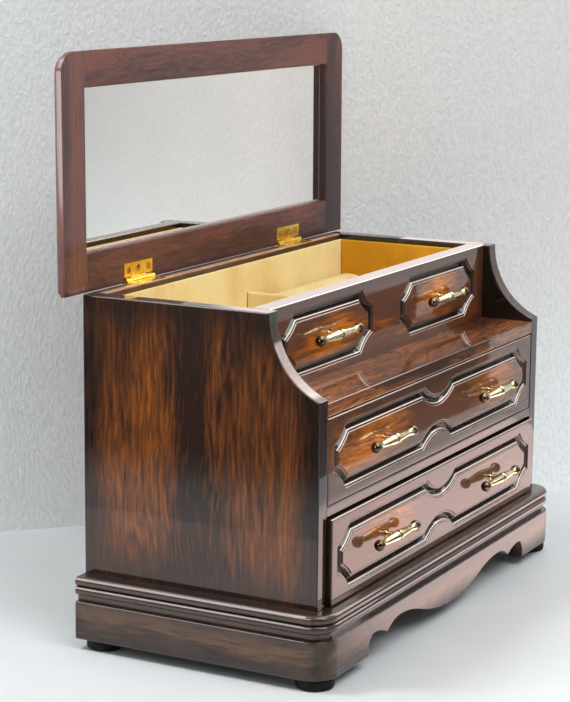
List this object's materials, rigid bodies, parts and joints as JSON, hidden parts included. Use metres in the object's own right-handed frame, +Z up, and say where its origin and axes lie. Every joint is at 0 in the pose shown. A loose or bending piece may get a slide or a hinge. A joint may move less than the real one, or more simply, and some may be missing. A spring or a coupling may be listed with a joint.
{
  "type": "vanity box with mirror",
  "caption": "Wooden jewellery box with a stepped front, two long drawers, a lined ring compartment and a lift-up lid carrying a mirror; it stores trinkets and is used at a dressing table.",
  "frame": {"origin": "Middle of the bounding box in X and Y, with the lid open, at the soles of the feet.", "axes": "X runs along the box to its right as seen from the front, Y runs from the drawer fronts to the back, and Z is up."},
  "size_m": [0.2824, 0.1473, 0.2811],
  "materials": {
    "lacquered_wood": "high gloss lacquer",
    "bare_wood": "unfinished",
    "velvet": "flocked pile",
    "hinge_brass": "polished plate",
    "pull_brass": "polished",
    "screw_steel": "plain",
    "mirror_glass": "silvered",
    "foot_rubber": "matt"
  },
  "bodies": {
    "carcass": {"left_side_panel": "lacquered_wood", "right_side_panel": "lacquered_wood", "back_panel": "lacquered_wood", "upper_front_board": "lacquered_wood", "step_board": "lacquered_wood", "drawer_divider": "lacquered_wood", "bottom_panel": "bare_wood", "base_moulding_front": "lacquered_wood", "base_moulding_left": "lacquered_wood", "base_moulding_right": "lacquered_wood", "base_moulding_back": "lacquered_wood", "plinth_front": "lacquered_wood", "plinth_left": "lacquered_wood", "plinth_right": "lacquered_wood", "plinth_back": "lacquered_wood", "glue_blocks": "bare_wood", "foot_pads": "foot_rubber", "floor_lining": "velvet", "back_lining": "velvet", "front_lining": "velvet", "left_lining": "velvet", "right_lining": "velvet", "partition": "velvet", "ring_cushion": "velvet", "hinge_lower_leaves": "hinge_brass", "hinge_pins": "hinge_brass", "hinge_lower_screws": "hinge_brass", "false_front_pulls": "pull_brass", "false_front_pull_screws": "screw_steel"},
    "lid": {"lid_left_stile": "lacquered_wood", "lid_right_stile": "lacquered_wood", "lid_front_rail": "lacquered_wood", "lid_back_rail": "lacquered_wood", "lid_panel": "lacquered_wood", "mirror": "mirror_glass", "hinge_upper_leaves": "hinge_brass", "hinge_upper_screws": "hinge_brass"},
    "upper_drawer": {"upper_drawer_front": "lacquered_wood", "upper_drawer_left_side": "bare_wood", "upper_drawer_right_side": "bare_wood", "upper_drawer_back": "bare_wood", "upper_drawer_bottom": "bare_wood", "upper_drawer_lining": "velvet", "upper_drawer_pulls": "pull_brass", "upper_drawer_pull_screws": "screw_steel"},
    "lower_drawer": {"lower_drawer_front": "lacquered_wood", "lower_drawer_left_side": "bare_wood", "lower_drawer_right_side": "bare_wood", "lower_drawer_back": "bare_wood", "lower_drawer_bottom": "bare_wood", "lower_drawer_lining": "velvet", "lower_drawer_pulls": "pull_brass", "lower_drawer_pull_screws": "screw_steel"}
  },
  "joints": [
    {"name": "lid_hinge", "type": "hinge", "parent": "carcass", "child": "lid", "pos_m": [0, 0.06389, 0.1696], "axis": [1, 0, 0], "range_deg": [0, 90.3]},
    {"name": "upper_drawer_slide", "type": "slide", "parent": "carcass", "child": "upper_drawer", "axis": [0, -1, 0], "range_m": [0, 0.095]},
    {"name": "lower_drawer_slide", "type": "slide", "parent": "carcass", "child": "lower_drawer", "axis": [0, -1, 0], "range_m": [-0.0025, 0.0925]}
  ]
}
